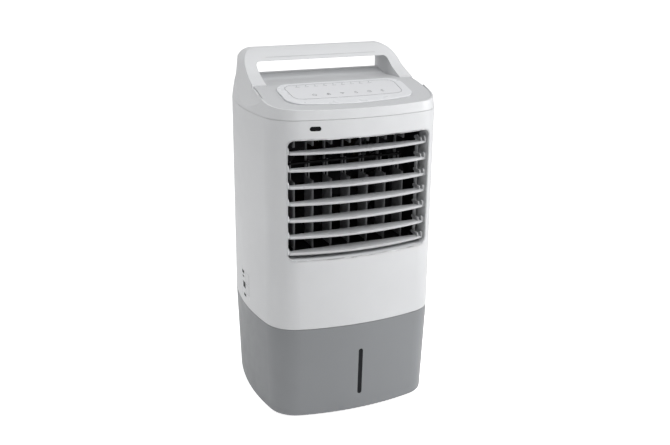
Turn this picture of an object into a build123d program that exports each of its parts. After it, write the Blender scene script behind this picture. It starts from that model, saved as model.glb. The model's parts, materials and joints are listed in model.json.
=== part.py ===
from build123d import *
import math
import os

# Evaporative air cooler, tower form. +X is the right-hand side seen from the front, the front faces -Y
# and +Z is up. The origin is at the centre of the footprint, on the floor.

# ---- overall size ---------------------------------------------------------------------------------
WIDTH = 350.0
DEPTH = 304.0
HEIGHT = 677.0
FRONT = -DEPTH / 2
REAR = DEPTH / 2
WALL = 2.5
FIT = 0.3                     # gap between neighbouring mouldings

# plan of the body: one shallow arc to each side, with rounded corners
FRONT_RADIUS = 514.0
REAR_RADIUS = 950.0
SIDE_RADIUS = 485.0
FRONT_CORNER = 64.0
REAR_CORNER = 22.0

# ---- heights --------------------------------------------------------------------------------------
FOOT = 5.0                    # underside of the base
BASE_SEAM = 188.0             # base to body
COVER_SEAM = 580.0            # body to top cover
RIM_FRONT = 597.0             # rim of the top cover at the front
SEAM_GAP = 0.8
BASE_TAPER = 7.0              # how far the base draws in at its underside

# ---- air outlet -----------------------------------------------------------------------------------
OUTLET_HALF = 138.3           # clear opening of the outlet frame
OUTLET_LOW = 323.2
OUTLET_HIGH = 544.8
OUTLET_MID = (OUTLET_LOW + OUTLET_HIGH) / 2
OUTLET_CORNER = 12.0
OUTLET_WALL = 1.6
OUTLET_BACK = FRONT + 60      # rear edge of the outlet frame

LOUVRES = 7
LOUVRE_TOP = 519.0            # mid-plane of the top louvre
LOUVRE_PITCH = 31.0
LOUVRE_HALF = 134.0
LOUVRE_SETBACK = 9.0          # front lip behind the front of the body
LOUVRE_REAR = FRONT + 42
LOUVRE_THICK = 3.0
LOUVRE_LIP = 2.5              # radius of the rounded front lip
PIVOT_Y = FRONT + 34
PIVOT_RISE = 5.0              # pivot above the louvre's mid-plane
PIVOT_RADIUS = 2.0
CRANK_LENGTH = 20.0
CRANK_X = 126.0
CRANK_THICK = 2.5
LINK_PIN = 1.5
RUNNING = 0.07                # radial clearance of a pin in its hole

# ---- vertical vanes -------------------------------------------------------------------------------
VANES = 7
VANE_PITCH = 36.6
VANE_Y = FRONT + 70           # pivot axis of every vane
VANE_LENGTH = 38.0            # pivot axis to rear edge
VANE_THICK = 2.4
VANE_BEAD = 2.2
NOTCH_LOW = 455.0             # the vanes are cut away here for their link bar
NOTCH_HIGH = 520.0
VANE_LINK_REACH = 18.0
VANE_LINK_Z = 484.0
DUCT_FRONT = OUTLET_BACK
DUCT_BACK = FRONT + 114
DUCT_HALF = 137.0
DUCT_LOW = 322.0
DUCT_HIGH = 546.0

# ---- fan ------------------------------------------------------------------------------------------
FAN_Z = OUTLET_MID
FAN_RING = 108.0
FAN_TIP = 105.0
FAN_HUB = 32.0
FAN_BLADES = 5
SHROUD_FRONT = DUCT_BACK
SHROUD_BACK = 8.0
SHAFT_RADIUS = 4.0
MOTOR_RADIUS = 40.0
MOTOR_BACK = 70.0

# ---- wet section ----------------------------------------------------------------------------------
PAD_HALF = 118.0
PAD_LOW = 226.0
PAD_HIGH = 528.0
PAD_FRONT = 94.0
PAD_BACK = 128.0
PUMP_X = 100.0
PUMP_Y = 70.0
PUMP_LOW = 16.0
PUMP_RADIUS = 22.0
HOSE_RADIUS = 5.0
HOSE_TOP = 545.0
TRAY_LOW = 194.0

# ---- rear intake ----------------------------------------------------------------------------------
INTAKE_HALF = 128.0
INTAKE_LOW = 212.0
INTAKE_HIGH = 556.0
SLAT_PITCH = 12.0
SLAT_THICK = 3.0

GLAND_X = -112.0
GLAND_Z = 200.0
GLAND_RADIUS = 7.0

# ---- water tank -----------------------------------------------------------------------------------
TANK_HALF = 127.0
TANK_FRONT = FRONT + 22
TANK_REAR = 130.0
TANK_LOW = 8.4
TANK_HIGH = 182.0
FACE_HALF = 131.0
LATCH_X = 85.0
LATCH_Z = 170.0
LATCH_REACH = 22.0
TONGUE_FRONT = 133.2          # the latch's tongue, behind the tank's rim
TONGUE_THICK = 3.0
LEVEL_LOW = 37.5
LEVEL_HIGH = 134.0
LEVEL_WIDTH = 8.6

# ---- top ------------------------------------------------------------------------------------------
RIM_WIDTH = 3.2
GRIP_INNER = 135.0            # inside faces of the handle's legs
GRIP_UNDER = 655.0            # underside of the handle's bar
PANEL_FRONT = (FRONT + 58, 603.5)
PANEL_REAR = (FRONT + 133, 621.0)
IR_X = -92.0
IR_Z = 565.0

os.makedirs("parts", exist_ok=True)


def write(builder, name):
    """Label a finished piece and write its STEP file."""
    builder.part.label = name
    export_step(builder.part, "parts/" + name + ".step")


def outline(inset, height=0.0):
    """Plan of the body at one height, drawn in by inset."""
    with BuildSketch(Plane.XY.offset(height)) as plan:
        with Locations((0, FRONT + FRONT_RADIUS)):
            Circle(FRONT_RADIUS - inset)
        with Locations((0, REAR - REAR_RADIUS)):
            Circle(REAR_RADIUS - inset, mode=Mode.INTERSECT)
        for side in (-1, 1):
            with Locations((side * (WIDTH / 2 - SIDE_RADIUS), 0)):
                Circle(SIDE_RADIUS - inset, mode=Mode.INTERSECT)
        fillet(plan.vertices().sort_by(Axis.Y)[:2], FRONT_CORNER - inset)
        fillet(plan.vertices().sort_by(Axis.Y)[-2:], max(REAR_CORNER - inset, 3.0))
    return plan.sketch


def prism(inset, low, high):
    """Upright solid on the body's plan."""
    with BuildPart() as solid:
        extrude(outline(inset, low), amount=high - low)
    return solid.part


BASE_TOP = BASE_SEAM - SEAM_GAP


def base_solid(inset, low=FOOT):
    """The base's tapered solid from the height low up, drawn in by inset."""
    taper = BASE_TAPER * (BASE_TOP - low) / (BASE_TOP - FOOT)
    with BuildPart() as solid:
        loft([outline(taper + inset, low), outline(inset, BASE_TOP)])
    return solid.part


# how far the top cover has drawn in at each height
COVER_DRAW = ((COVER_SEAM, 0.0), (602.0, 3.4), (628.0, 7.0), (655.0, 10.0), (HEIGHT, 12.0))


def cover_solid(inset):
    """The top cover's rounded, tapering solid, drawn in by inset."""
    with BuildPart() as solid:
        loft([outline(draw + inset, height) for height, draw in COVER_DRAW])
    return solid.part


def stadium(x, z, width, height):
    """Round-ended slot shape on the front face, drawn from the front."""
    with BuildSketch(FRONT_PLANE) as shape:
        with Locations((x, z)):
            if height > width:
                SlotOverall(height, width, rotation=90)
            else:
                SlotOverall(width, height)
    return shape.sketch


def opening(half, low, high, corner, plane):
    """Rounded rectangle centred on x = 0, on an upright plane."""
    with BuildSketch(plane) as shape:
        with Locations((0, (low + high) / 2)):
            RectangleRounded(2 * half, high - low, corner)
    return shape.sketch


FRONT_PLANE = Plane.XZ.offset(-FRONT)      # at the front apex; a negative amount goes into the body
REAR_PLANE = Plane.XZ.offset(-REAR)        # at the rear apex; a positive amount goes into the body


# ==== base and feet ================================================================================
FLOOR_TOP = 8.0
with BuildPart() as base_shell:
    add(base_solid(0))
    fillet(base_shell.faces().sort_by(Axis.Z)[0].edges(), 2.5)
    add(base_solid(WALL, FLOOR_TOP), mode=Mode.SUBTRACT)
    # lip that the body sits over
    add(prism(WALL + FIT, BASE_SEAM - 10, TRAY_LOW))
    add(prism(2 * WALL, BASE_SEAM - 11, TRAY_LOW + 1), mode=Mode.SUBTRACT)
    # mouth for the tank at the rear
    with BuildSketch(REAR_PLANE) as mouth:
        with Locations((0, (FLOOR_TOP + 2 * BASE_SEAM) / 2)):
            Rectangle(2 * (FACE_HALF + 0.5), 2 * BASE_SEAM - FLOOR_TOP)
    extrude(amount=60, mode=Mode.SUBTRACT)
    extrude(stadium(0, (LEVEL_LOW + LEVEL_HIGH) / 2, LEVEL_WIDTH + 0.2, LEVEL_HIGH - LEVEL_LOW + 0.2),
            amount=-40, mode=Mode.SUBTRACT)
write(base_shell, "base_shell")

with BuildPart() as level_window:
    extrude(stadium(0, (LEVEL_LOW + LEVEL_HIGH) / 2, LEVEL_WIDTH, LEVEL_HIGH - LEVEL_LOW), amount=-30)
    add(base_solid(0.3), mode=Mode.INTERSECT)
    add(base_solid(3.0), mode=Mode.SUBTRACT)
write(level_window, "level_window")

FOOT_RADIUS = 13.0
FOOT_SPOTS = ((-118, -88), (118, -88), (-112, 112), (112, 112))
with BuildPart() as feet:
    with Locations(*[(x, y, 0) for x, y in FOOT_SPOTS]):
        Cylinder(FOOT_RADIUS, FOOT, align=(Align.CENTER, Align.CENTER, Align.MIN))
    chamfer(feet.faces().filter_by(Axis.Z).group_by(Axis.Z)[0].edges(), 1.2)
write(feet, "feet")


# ==== body shell with the outlet and intake openings ==============================================
with BuildPart() as body_shell:
    add(prism(0, BASE_SEAM, COVER_SEAM - SEAM_GAP / 2))
    add(prism(WALL, BASE_SEAM - 1, COVER_SEAM + 1), mode=Mode.SUBTRACT)
    wrap = OUTLET_WALL + 0.2
    extrude(opening(OUTLET_HALF + wrap, OUTLET_LOW - wrap, OUTLET_HIGH + wrap, OUTLET_CORNER + wrap,
                    FRONT_PLANE), amount=-60, mode=Mode.SUBTRACT)
    extrude(opening(INTAKE_HALF + 0.4, INTAKE_LOW - 0.4, INTAKE_HIGH + 0.4, 8.4, REAR_PLANE),
            amount=40, mode=Mode.SUBTRACT)
    extrude(stadium(IR_X, IR_Z, 20.2, 8.2), amount=-60, mode=Mode.SUBTRACT)
    with BuildSketch(REAR_PLANE):
        with Locations((GLAND_X, GLAND_Z)):
            Circle(GLAND_RADIUS + 0.1)
    extrude(amount=30, mode=Mode.SUBTRACT)
    # upright rails that hold the fan shroud's plate
    for side in (-1, 1):
        with Locations(*[(side * 162, y, 215) for y in (SHROUD_FRONT - 3, SHROUD_FRONT + 2.5)]):
            Box(10, 3, 340, align=(Align.MIN if side > 0 else Align.MAX, Align.MIN, Align.MIN))
write(body_shell, "body_shell")

with BuildPart() as ir_window:
    extrude(stadium(IR_X, IR_Z, 20.0, 8.0), amount=-60)
    add(prism(0.4, BASE_SEAM, COVER_SEAM), mode=Mode.INTERSECT)
    add(prism(3.4, BASE_SEAM - 1, COVER_SEAM + 1), mode=Mode.SUBTRACT)
write(ir_window, "ir_window")


# ==== top cover, handle, surround and control panel ===============================================
def from_front(points):
    """Side-view points given as distance behind the front and height."""
    return [(FRONT + back, height) for back, height in points]


RIM_LINE = from_front(((-1, RIM_FRONT - 0.1), (30, 598.8), (62, 603.6), (92, 611.0), (118, 617.5),
                       (135, 620.5)))
HANDLE_FRONT = from_front(((158, 628.5), (180, 639.0), (198, 652.0), (214, 664.0), (227, 672.5)))
HANDLE_TOP = from_front(((239, HEIGHT), (249, HEIGHT - 0.8), (254, HEIGHT - 7)))
SURROUND_LINE = from_front(((-1, RIM_FRONT - 1.0), (30, 597.9), (62, 602.8), (92, 610.4), (118, 616.8),
                            (135, 619.6)))
COVE_LINE = from_front(((160, 620.2), (195, 619.0), (222, 621.5), (236, 626.0), (241, 627.0)))
CREST = (FRONT + 254, 627.0)
REAR_EDGE = (REAR + 1, 583.0)
LEG_START = FRONT + 141       # the surround stops at the handle's legs behind this
SURROUND_THICK = 2.6
DECK = 3.0                    # the cover's deck under the surround


def under_surround(drop):
    """Solid right across the body below the surround's surface lowered by drop."""
    top = [(y, z - drop) for y, z in SURROUND_LINE + COVE_LINE]
    with BuildPart() as solid:
        with BuildSketch(Plane.YZ):
            with BuildLine():
                Spline(*top)
                Polyline(top[-1], (top[-1][0], 500), (top[0][0], 500), top[0])
            make_face()
        extrude(amount=WIDTH / 2 + 1, both=True)
    return solid.part


def cover_cavity():
    """The hollow inside the cover, under its deck and its rear slope."""
    drop = SURROUND_THICK + DECK
    top = [(y, z - drop) for y, z in SURROUND_LINE + COVE_LINE]
    with BuildPart() as solid:
        with BuildSketch(Plane.YZ):
            with BuildLine():
                Spline(*top)
                Polyline(top[-1], (CREST[0] + 1.4, top[-1][1]), (REAR_EDGE[0] - 12, REAR_EDGE[1] + 3),
                         (REAR_EDGE[0] - 12, 500), (top[0][0], 500), top[0])
            make_face()
        extrude(amount=WIDTH / 2, both=True)
    return cover_solid(WALL) & solid.part & front_view(WALL + 1)


def handle_gap(front):
    """The space between the handle's legs, under its bar and above the deck and the crest behind it."""
    low = CREST[1] - 30
    crest_start = FRONT + 241
    with BuildPart() as solid:
        with BuildSketch(Plane.XZ.offset(-front)):
            with BuildLine():
                FilletPolyline((-GRIP_INNER, low), (-GRIP_INNER, GRIP_UNDER), (GRIP_INNER, GRIP_UNDER),
                               (GRIP_INNER, low), radius=8)
                Line((GRIP_INNER, low), (-GRIP_INNER, low))
            make_face()
        extrude(amount=-(REAR + 2 - front))
        add(under_surround(SURROUND_THICK), mode=Mode.SUBTRACT)
        with Locations((0, crest_start, CREST[1])):
            Box(WIDTH, DEPTH, 60, align=(Align.CENTER, Align.MIN, Align.MAX), mode=Mode.SUBTRACT)
    return solid.part


def front_view(inset):
    """The cover's front view as a solid: the sides lean in and turn over into the handle's bar."""
    side = ((176, 570), (175, 584), (166, 604), (161, 624), (158.5, 642), (156.5, HEIGHT + 0.5))
    right = [(x - inset, z) for x, z in side]
    left = [(-x, z) for x, z in reversed(right)]
    with BuildPart() as solid:
        with BuildSketch(FRONT_PLANE):
            with BuildLine():
                FilletPolyline(*right, *left, radius=(40, 60, 60, 60, 34, 34, 60, 60, 60, 40))
                Line(left[-1], right[0])
            make_face()
        extrude(amount=-DEPTH - 2)
    return solid.part


# the panel lies in a plane that rises towards the rear
PANEL_SLOPE = math.degrees(math.atan2(PANEL_REAR[1] - PANEL_FRONT[1], PANEL_REAR[0] - PANEL_FRONT[0]))
PANEL_MIDDLE = ((PANEL_FRONT[0] + PANEL_REAR[0]) / 2, (PANEL_FRONT[1] + PANEL_REAR[1]) / 2)
PANEL_LENGTH = math.dist(PANEL_FRONT, PANEL_REAR)


def panel_plane(rise):
    """Plane parallel to the control panel, rise above the surround's surface."""
    tilted = Plane((0, *PANEL_MIDDLE)).rotated((PANEL_SLOPE, 0, 0))
    return tilted.offset(rise)


def panel_shape(plane, rear_half, front_half, rear, front, corner, bow):
    """Rounded trapezoid on the panel's plane with a bowed front edge. rear and front lie along the slope."""
    with BuildSketch(plane) as shape:
        with BuildLine():
            Polyline((-front_half, front), (-rear_half, rear), (rear_half, rear), (front_half, front))
            ThreePointArc((-front_half, front), (0, front - bow), (front_half, front))
        make_face()
        fillet(shape.vertices(), corner)
    return shape.sketch


HALF_LENGTH = PANEL_LENGTH / 2
PANEL_PROUD = 1.2
PANEL_THICK = 5.0
PANEL_CORNER = 29.0
PANEL_BOW = 16.0              # how far the middle of the front edge stands out


def panel_outline(grow, rise):
    """The panel's outline, made larger by grow all round."""
    return panel_shape(panel_plane(rise), 127 + grow, 124 + grow, HALF_LENGTH + grow + 2,
                       -HALF_LENGTH - grow - 4, PANEL_CORNER + grow, PANEL_BOW)


# everything inside the rim and above the surround's underside, less the handle's legs
with BuildPart() as seat:
    add(cover_solid(RIM_WIDTH))
    add(under_surround(SURROUND_THICK), mode=Mode.SUBTRACT)
    with BuildSketch(Plane.XY.offset(COVER_SEAM)) as behind_legs:
        with Locations((0, LEG_START + 200)):
            Rectangle(2 * WIDTH, 400)
    extrude(amount=200, mode=Mode.SUBTRACT)

SLOPE_FALL = math.degrees(math.atan2(CREST[1] - REAR_EDGE[1], REAR_EDGE[0] - CREST[0]))
SLOPE_MIDDLE = (0, (CREST[0] + REAR_EDGE[0]) / 2, (CREST[1] + REAR_EDGE[1]) / 2)
SLOPE_PLANE = Plane(SLOPE_MIDDLE).rotated((-SLOPE_FALL, 0, 0))
SCREW_SPOTS = ((-95, 0), (95, 0))
SCREW_SINK = 2.2

with BuildPart() as cover_lip:
    add(prism(WALL - 1, COVER_SEAM, COVER_SEAM + 2))
    add(prism(WALL + FIT, COVER_SEAM - 7, COVER_SEAM))
    add(prism(2 * WALL, COVER_SEAM - 8, COVER_SEAM + 3), mode=Mode.SUBTRACT)

with BuildPart() as top_cover:
    add(cover_solid(0))
    with BuildSketch(Plane.YZ) as cover_side:
        with BuildLine():
            Spline(*RIM_LINE, *HANDLE_FRONT, *HANDLE_TOP)
            Polyline(HANDLE_TOP[-1], CREST, REAR_EDGE, (REAR + 1, COVER_SEAM - 1),
                     (FRONT - 1, COVER_SEAM - 1), RIM_LINE[0])
        make_face()
    extrude(amount=WIDTH, both=True, mode=Mode.INTERSECT)
    add(front_view(0), mode=Mode.INTERSECT)
    add(seat.part, mode=Mode.SUBTRACT)
    add(handle_gap(LEG_START - 1), mode=Mode.SUBTRACT)
    add(cover_cavity(), mode=Mode.SUBTRACT)
    extrude(panel_outline(FIT, 10), amount=-10 - PANEL_THICK + PANEL_PROUD - 0.2, mode=Mode.SUBTRACT)
    extrude(panel_outline(-8, 10), amount=-40, mode=Mode.SUBTRACT)
    # lip that drops inside the body, and bosses behind the rear slope for two screws
    add(cover_lip.part)
    with BuildSketch(SLOPE_PLANE.offset(-2)):
        with Locations(*SCREW_SPOTS):
            Circle(6)
    extrude(amount=-12)
    with BuildSketch(SLOPE_PLANE):
        with Locations(*SCREW_SPOTS):
            Circle(4.3)
    extrude(amount=-SCREW_SINK, mode=Mode.SUBTRACT)
    with BuildSketch(SLOPE_PLANE):
        with Locations(*SCREW_SPOTS):
            Circle(1.6)
    extrude(amount=-12, mode=Mode.SUBTRACT)
write(top_cover, "top_cover")

with BuildPart() as cover_screws:
    with BuildSketch(SLOPE_PLANE.offset(-SCREW_SINK)):
        with Locations(*SCREW_SPOTS):
            Circle(4)
    extrude(amount=1.8)
    with BuildSketch(SLOPE_PLANE.offset(-SCREW_SINK)):
        with Locations(*SCREW_SPOTS):
            Circle(1.6)
    extrude(amount=-9)
write(cover_screws, "cover_screws")

with BuildPart() as top_surround:
    add(cover_solid(RIM_WIDTH + 0.2))
    add(under_surround(0), mode=Mode.INTERSECT)
    add(under_surround(SURROUND_THICK), mode=Mode.SUBTRACT)
    with BuildSketch(Plane.XY.offset(COVER_SEAM)) as beside_legs:
        with Locations((0, LEG_START + 199.7)):
            Rectangle(2 * WIDTH, 400)
            Rectangle(2 * (GRIP_INNER - 0.3), 400, mode=Mode.SUBTRACT)
    extrude(amount=100, mode=Mode.SUBTRACT)
    add(front_view(RIM_WIDTH + 0.2), mode=Mode.INTERSECT)
    extrude(panel_outline(FIT, 5), amount=-30, mode=Mode.SUBTRACT)
write(top_surround, "top_surround")

KEY_THICK = 0.8
KEY_FRONT = -HALF_LENGTH + 9
KEY_REAR = HALF_LENGTH - 6


def key_outline(grow, rise):
    return panel_shape(panel_plane(rise), 111 + grow, 107 + grow, KEY_REAR + grow, KEY_FRONT - grow,
                       16 + grow, 3)


BOARD_DROP = -17.0
with BuildPart() as control_panel:
    extrude(panel_outline(0, PANEL_PROUD - PANEL_THICK), amount=PANEL_THICK)
    chamfer(control_panel.faces().sort_by(Axis.Z)[-1].edges(), 0.8)
    extrude(key_outline(0.1, PANEL_PROUD + 1), amount=-1 - KEY_THICK, mode=Mode.SUBTRACT)
    with BuildSketch(panel_plane(BOARD_DROP)):
        with GridLocations(170, 34, 2, 2):
            Circle(3)
    extrude(amount=PANEL_PROUD - PANEL_THICK - BOARD_DROP)
write(control_panel, "control_panel")

with BuildPart() as key_membrane:
    extrude(key_outline(0, PANEL_PROUD - KEY_THICK), amount=KEY_THICK)
write(key_membrane, "key_membrane")

with BuildPart() as control_board:
    with BuildSketch(panel_plane(BOARD_DROP)):
        Rectangle(186, 50)
    extrude(amount=-1.6)
    with BuildSketch(panel_plane(BOARD_DROP)):
        with Locations((-58, 0)):
            Rectangle(22, 16)
        with Locations((-20, 6), (-4, 6)):
            Rectangle(10, 12)
        with Locations((40, -4)):
            Rectangle(16, 16)
        with Locations((62, 6)):
            Circle(5)
    extrude(amount=7)
write(control_board, "control_board")


# ==== air outlet: frame, louvres and their link ====================================================
def outlet_face(grow, plane):
    return opening(OUTLET_HALF + grow, OUTLET_LOW - grow, OUTLET_HIGH + grow, OUTLET_CORNER + grow, plane)


def louvre_height(index):
    return LOUVRE_TOP - (index - 1) * LOUVRE_PITCH


with BuildPart() as outlet_frame:
    extrude(outlet_face(OUTLET_WALL, Plane.XZ.offset(-OUTLET_BACK)), amount=OUTLET_BACK - FRONT + 5)
    with BuildSketch(Plane.XZ.offset(-OUTLET_BACK)):
        with Locations((0, OUTLET_MID)):
            RectangleRounded(2 * OUTLET_HALF + 20, OUTLET_HIGH - OUTLET_LOW + 20, 16)
    extrude(amount=2.5)
    # bosses behind the side walls for the louvre pins
    pivot_heights = [louvre_height(k) + PIVOT_RISE for k in range(1, LOUVRES + 1)]
    for side in (-1, 1):
        with BuildSketch(Plane.YZ.offset(side * (OUTLET_HALF + 1))):
            with Locations(*[(PIVOT_Y, z) for z in pivot_heights]):
                Circle(3.5)
        extrude(amount=side * 3.8)
    extrude(outlet_face(0, FRONT_PLANE), amount=-80, mode=Mode.SUBTRACT)
    add(prism(0.5, BASE_SEAM, COVER_SEAM), mode=Mode.INTERSECT)
    with BuildSketch(Plane.YZ):
        with Locations(*[(PIVOT_Y, z) for z in pivot_heights]):
            Circle(PIVOT_RADIUS + RUNNING)
    extrude(amount=OUTLET_HALF + 20, both=True, mode=Mode.SUBTRACT)
write(outlet_frame, "outlet_frame")

LIP_RADIUS = FRONT_RADIUS - LOUVRE_SETBACK       # plan radius of a louvre's front lip
LIP_CENTRE = FRONT + FRONT_RADIUS
EAR_RADIUS = 5.0
EAR_THICK = 3.3


def louvre(height):
    """One louvre: a blade with a bowed, rounded front lip, an ear and pin at each end and a crank arm."""
    end_y = LIP_CENTRE - math.sqrt(LIP_RADIUS ** 2 - LOUVRE_HALF ** 2)
    pivot_z = height + PIVOT_RISE
    with BuildPart() as blade:
        with BuildSketch(Plane.XY.offset(height - LOUVRE_THICK / 2)) as plan:
            with BuildLine():
                lip = ThreePointArc((-LOUVRE_HALF, end_y), (0, LIP_CENTRE - LIP_RADIUS), (LOUVRE_HALF, end_y))
                Polyline(lip @ 1, (LOUVRE_HALF, LOUVRE_REAR), (-LOUVRE_HALF, LOUVRE_REAR), lip @ 0)
            make_face()
            fillet(plan.vertices().sort_by(Axis.Y)[:2], 4)
            fillet(plan.vertices().sort_by(Axis.Y)[-2:], 7)
        extrude(amount=LOUVRE_THICK)
        with BuildLine() as lip_path:
            bead = ThreePointArc((-LOUVRE_HALF + 3, end_y + 2.1, height),
                                 (0, LIP_CENTRE - LIP_RADIUS + 2.5, height),
                                 (LOUVRE_HALF - 3, end_y + 2.1, height))
        with BuildSketch(Plane(bead @ 0, z_dir=bead % 0)):
            Circle(LOUVRE_LIP)
        sweep(path=lip_path.line)
        with Locations(bead @ 0, bead @ 1):
            Sphere(LOUVRE_LIP)
        for side in (-1, 1):
            with BuildSketch(Plane.YZ.offset(side * (LOUVRE_HALF - 0.4))):
                with Locations((PIVOT_Y, pivot_z)):
                    Circle(EAR_RADIUS)
                with Locations((PIVOT_Y, pivot_z - PIVOT_RISE / 2 - 0.7)):
                    Rectangle(2 * EAR_RADIUS, PIVOT_RISE + 1.4)
            extrude(amount=side * EAR_THICK)
            with BuildSketch(Plane.YZ.offset(side * LOUVRE_HALF)):
                with Locations((PIVOT_Y, pivot_z)):
                    Circle(PIVOT_RADIUS)
            extrude(amount=side * 7.8)
        # crank arm at the right-hand end with the pin for the link
        crank_end = (PIVOT_Y + CRANK_LENGTH, pivot_z)
        with BuildSketch(Plane.YZ.offset(CRANK_X)):
            with BuildLine():
                Polyline((PIVOT_Y - 5, height), (PIVOT_Y - 3, pivot_z + 3.5), (crank_end[0], pivot_z + 2.5),
                         (crank_end[0], pivot_z - 2.5), (LOUVRE_REAR - 6, height), close=True)
            make_face()
            with Locations(crank_end):
                Circle(2.8)
        extrude(amount=CRANK_THICK)
        with BuildSketch(Plane.YZ.offset(CRANK_X + CRANK_THICK)):
            with Locations(crank_end):
                Circle(LINK_PIN)
        extrude(amount=4.4)
    return blade


for k in range(1, LOUVRES + 1):
    write(louvre(louvre_height(k)), f"louvre_{k}")

LINK_WIDTH = 7.0
LINK_GAP = 0.6
with BuildPart() as louvre_link:
    with BuildSketch(Plane.YZ.offset(CRANK_X + CRANK_THICK + LINK_GAP)):
        with Locations((PIVOT_Y + CRANK_LENGTH, (pivot_heights[0] + pivot_heights[-1]) / 2)):
            SlotOverall((LOUVRES - 1) * LOUVRE_PITCH + LINK_WIDTH, LINK_WIDTH, rotation=90)
        with Locations(*[(PIVOT_Y + CRANK_LENGTH, z) for z in pivot_heights]):
            Circle(LINK_PIN + RUNNING, mode=Mode.SUBTRACT)
    extrude(amount=3.0)
write(louvre_link, "louvre_link")


# ==== vane duct, vertical vanes, their link and the swing motor ====================================
VANE_SPOTS = [(k - (VANES + 1) / 2) * VANE_PITCH for k in range(1, VANES + 1)]
DUCT_WALL = 2.5
with BuildPart() as vane_duct:
    with BuildSketch(Plane.XZ.offset(-DUCT_FRONT)):
        with Locations((0, (DUCT_LOW + DUCT_HIGH) / 2)):
            RectangleRounded(2 * DUCT_HALF, DUCT_HIGH - DUCT_LOW, 6)
            RectangleRounded(2 * (DUCT_HALF - DUCT_WALL), DUCT_HIGH - DUCT_LOW - 2 * DUCT_WALL, 3.5,
                             mode=Mode.SUBTRACT)
    extrude(amount=DUCT_FRONT - DUCT_BACK)
    with BuildSketch(Plane.XY.offset(DUCT_LOW - 1)):
        with Locations(*[(x, VANE_Y) for x in VANE_SPOTS]):
            Circle(PIVOT_RADIUS + RUNNING)
    extrude(amount=DUCT_HIGH - DUCT_LOW + 2, mode=Mode.SUBTRACT)
write(vane_duct, "vane_duct")

VANE_LOW = DUCT_LOW + DUCT_WALL + 2.5
VANE_HIGH = DUCT_HIGH - DUCT_WALL - 2.5


def vane(x):
    """One vertical vane: a pivot bead, a thin neck and a plate, cut away in the middle for the link bar."""
    with BuildPart() as plate:
        with BuildSketch(Plane.XY.offset(VANE_LOW)):
            with Locations((x, VANE_Y)):
                Circle(VANE_BEAD)
            with Locations((x, VANE_Y + 3)):
                Rectangle(1.2, 6)
            with Locations((x, VANE_Y + (5 + VANE_LENGTH) / 2)):
                Rectangle(VANE_THICK, VANE_LENGTH - 5)
        extrude(amount=VANE_HIGH - VANE_LOW)
        with BuildSketch(Plane.XY.offset(NOTCH_LOW)):
            with Locations((x, VANE_Y - 5 + (VANE_LENGTH - 2) / 2)):
                Rectangle(12, VANE_LENGTH - 2)
        extrude(amount=NOTCH_HIGH - NOTCH_LOW, mode=Mode.SUBTRACT)
        with Locations((x, VANE_Y, DUCT_LOW)):
            Cylinder(PIVOT_RADIUS, VANE_LOW - DUCT_LOW + 1, align=(Align.CENTER, Align.CENTER, Align.MIN))
        with Locations((x, VANE_Y, DUCT_HIGH + (6 if x == 0 else 0))):
            Cylinder(PIVOT_RADIUS, DUCT_HIGH - VANE_HIGH + (7 if x == 0 else 1),
                     align=(Align.CENTER, Align.CENTER, Align.MAX))
        with Locations((x, VANE_Y + VANE_LINK_REACH, NOTCH_LOW - 4)):
            Cylinder(LINK_PIN, VANE_LINK_Z - NOTCH_LOW + 9, align=(Align.CENTER, Align.CENTER, Align.MIN))
    return plate


for k, x in enumerate(VANE_SPOTS, 1):
    write(vane(x), f"vane_{k}")

with BuildPart() as vane_link:
    with BuildSketch(Plane.XY.offset(VANE_LINK_Z)):
        with Locations((0, VANE_Y + VANE_LINK_REACH)):
            SlotOverall((VANES - 1) * VANE_PITCH + 11, 8)
        with Locations(*[(x, VANE_Y + VANE_LINK_REACH) for x in VANE_SPOTS]):
            Circle(LINK_PIN + RUNNING, mode=Mode.SUBTRACT)
    extrude(amount=3.5)
write(vane_link, "vane_link")

SWING_OFFSET = 8.0            # the motor's shaft stands off its centre
with BuildPart() as swing_motor:
    with Locations((0, VANE_Y + SWING_OFFSET, DUCT_HIGH)):
        Cylinder(14, 19, align=(Align.CENTER, Align.CENTER, Align.MIN))
        Box(42, 9, 1.2, align=(Align.CENTER, Align.CENTER, Align.MIN))
    with Locations((0, VANE_Y, DUCT_HIGH)):
        Cylinder(PIVOT_RADIUS + RUNNING, 7, align=(Align.CENTER, Align.CENTER, Align.MIN), mode=Mode.SUBTRACT)
write(swing_motor, "swing_motor")


# ==== fan: shroud, rotor, shaft, motor and bracket =================================================
def fan_disc(y, *radii):
    """Sketch of a disc or ring round the fan's axis on the upright plane at y."""
    with BuildSketch(Plane.XZ.offset(-y)) as disc:
        with Locations((0, FAN_Z)):
            Circle(radii[0])
            if len(radii) > 1:
                Circle(radii[1], mode=Mode.SUBTRACT)
    return disc.sketch


BRACKET_THICK = 3.0
BRACKET_REACH = 116.0
MOTOR_FRONT = SHROUD_BACK + BRACKET_THICK
DIAGONALS = (45, 135, 225, 315)

with BuildPart() as fan_shroud:
    with BuildSketch(Plane.XZ.offset(-SHROUD_FRONT)):
        with Locations((0, (INTAKE_LOW + INTAKE_HIGH) / 2)):
            RectangleRounded(330, INTAKE_HIGH - INTAKE_LOW + 10, 10)
    extrude(amount=-2.5)
    extrude(fan_disc(SHROUD_FRONT, FAN_RING + 2.5), amount=SHROUD_FRONT - SHROUD_BACK)
    extrude(fan_disc(SHROUD_BACK - 2.5, FAN_RING + 14), amount=-2.5)
    extrude(fan_disc(SHROUD_FRONT - 1, FAN_RING), amount=-80, mode=Mode.SUBTRACT)
    with BuildSketch(Plane.XZ.offset(-SHROUD_BACK)):
        with Locations((0, FAN_Z)):
            with PolarLocations(BRACKET_REACH, 4, 45):
                Circle(1.6)
    extrude(amount=5, mode=Mode.SUBTRACT)
write(fan_shroud, "fan_shroud")

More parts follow.
